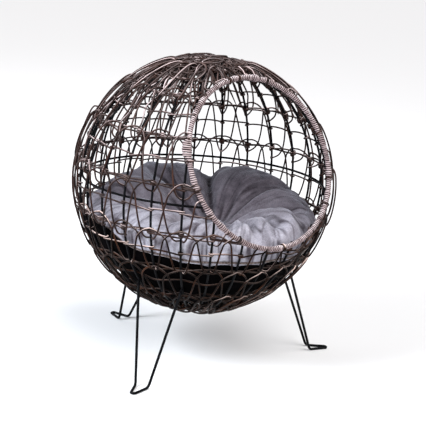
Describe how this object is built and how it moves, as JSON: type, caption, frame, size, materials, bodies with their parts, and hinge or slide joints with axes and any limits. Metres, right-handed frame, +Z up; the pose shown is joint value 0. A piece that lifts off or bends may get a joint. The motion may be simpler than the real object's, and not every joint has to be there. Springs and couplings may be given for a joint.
{
  "type": "wicker pet bed basket",
  "caption": "Openwork wicker ball on hairpin wire legs with a tilted round opening and a loose round cushion, for a cat or small dog to sleep in.",
  "frame": {"origin": "on the floor, under the upright axis of the ball", "axes": "+Z up, the opening faces -Y, +X to the right seen from the front"},
  "size_m": [0.4636, 0.4528, 0.5262],
  "materials": {
    "black_steel": "satin",
    "wicker": "satin",
    "rim_wicker": "satin",
    "plush": "matte",
    "base_cloth": "matte",
    "filling": "matte"
  },
  "bodies": {
    "basket": {"rib_01": "black_steel", "rib_02": "black_steel", "rib_03": "black_steel", "rib_04": "black_steel", "rib_05": "black_steel", "rib_06": "black_steel", "rib_07": "black_steel", "rib_08": "black_steel", "rib_09": "black_steel", "rib_10": "black_steel", "rib_11": "black_steel", "rib_12": "black_steel", "rib_13": "black_steel", "rib_14": "black_steel", "rib_15": "black_steel", "rib_16": "black_steel", "rib_17": "black_steel", "rib_18": "black_steel", "rib_19": "black_steel", "rib_20": "black_steel", "rib_21": "black_steel", "rib_22": "black_steel", "rib_23": "black_steel", "rib_24": "black_steel", "rib_25": "black_steel", "rib_26": "black_steel", "leg_front_left": "black_steel", "leg_right": "black_steel", "leg_rear": "black_steel", "top_hub": "black_steel", "bottom_hub": "black_steel", "waist_ring": "black_steel", "rim_ring": "black_steel", "ring_strand_01": "wicker", "ring_strand_02": "wicker", "ring_strand_03": "wicker", "ring_strand_04": "wicker", "ring_strand_05": "wicker", "ring_strand_06": "wicker", "ring_strand_07": "wicker", "ring_strand_08": "wicker", "ring_strand_09": "wicker", "ring_strand_10": "wicker", "ring_strand_11": "wicker", "ring_strand_12": "wicker", "ring_strand_13": "wicker", "ring_strand_14": "wicker", "loop_strands_1": "wicker", "loop_strands_2": "wicker", "loop_strands_3": "wicker", "loop_strands_4": "wicker", "loop_strands_5": "wicker", "loop_strands_6": "wicker", "loop_strands_7": "wicker", "crown_weave": "wicker", "base_weave": "wicker", "rim_wrap": "rim_wicker"},
    "cushion": {"cushion_cover": "plush", "cushion_base": "base_cloth", "cushion_fill": "filling"}
  },
  "joints": [
    {"name": "cushion_lift", "type": "slide", "parent": "basket", "child": "cushion", "axis": [0, 0, 1], "range_m": [0, 0.08]}
  ]
}
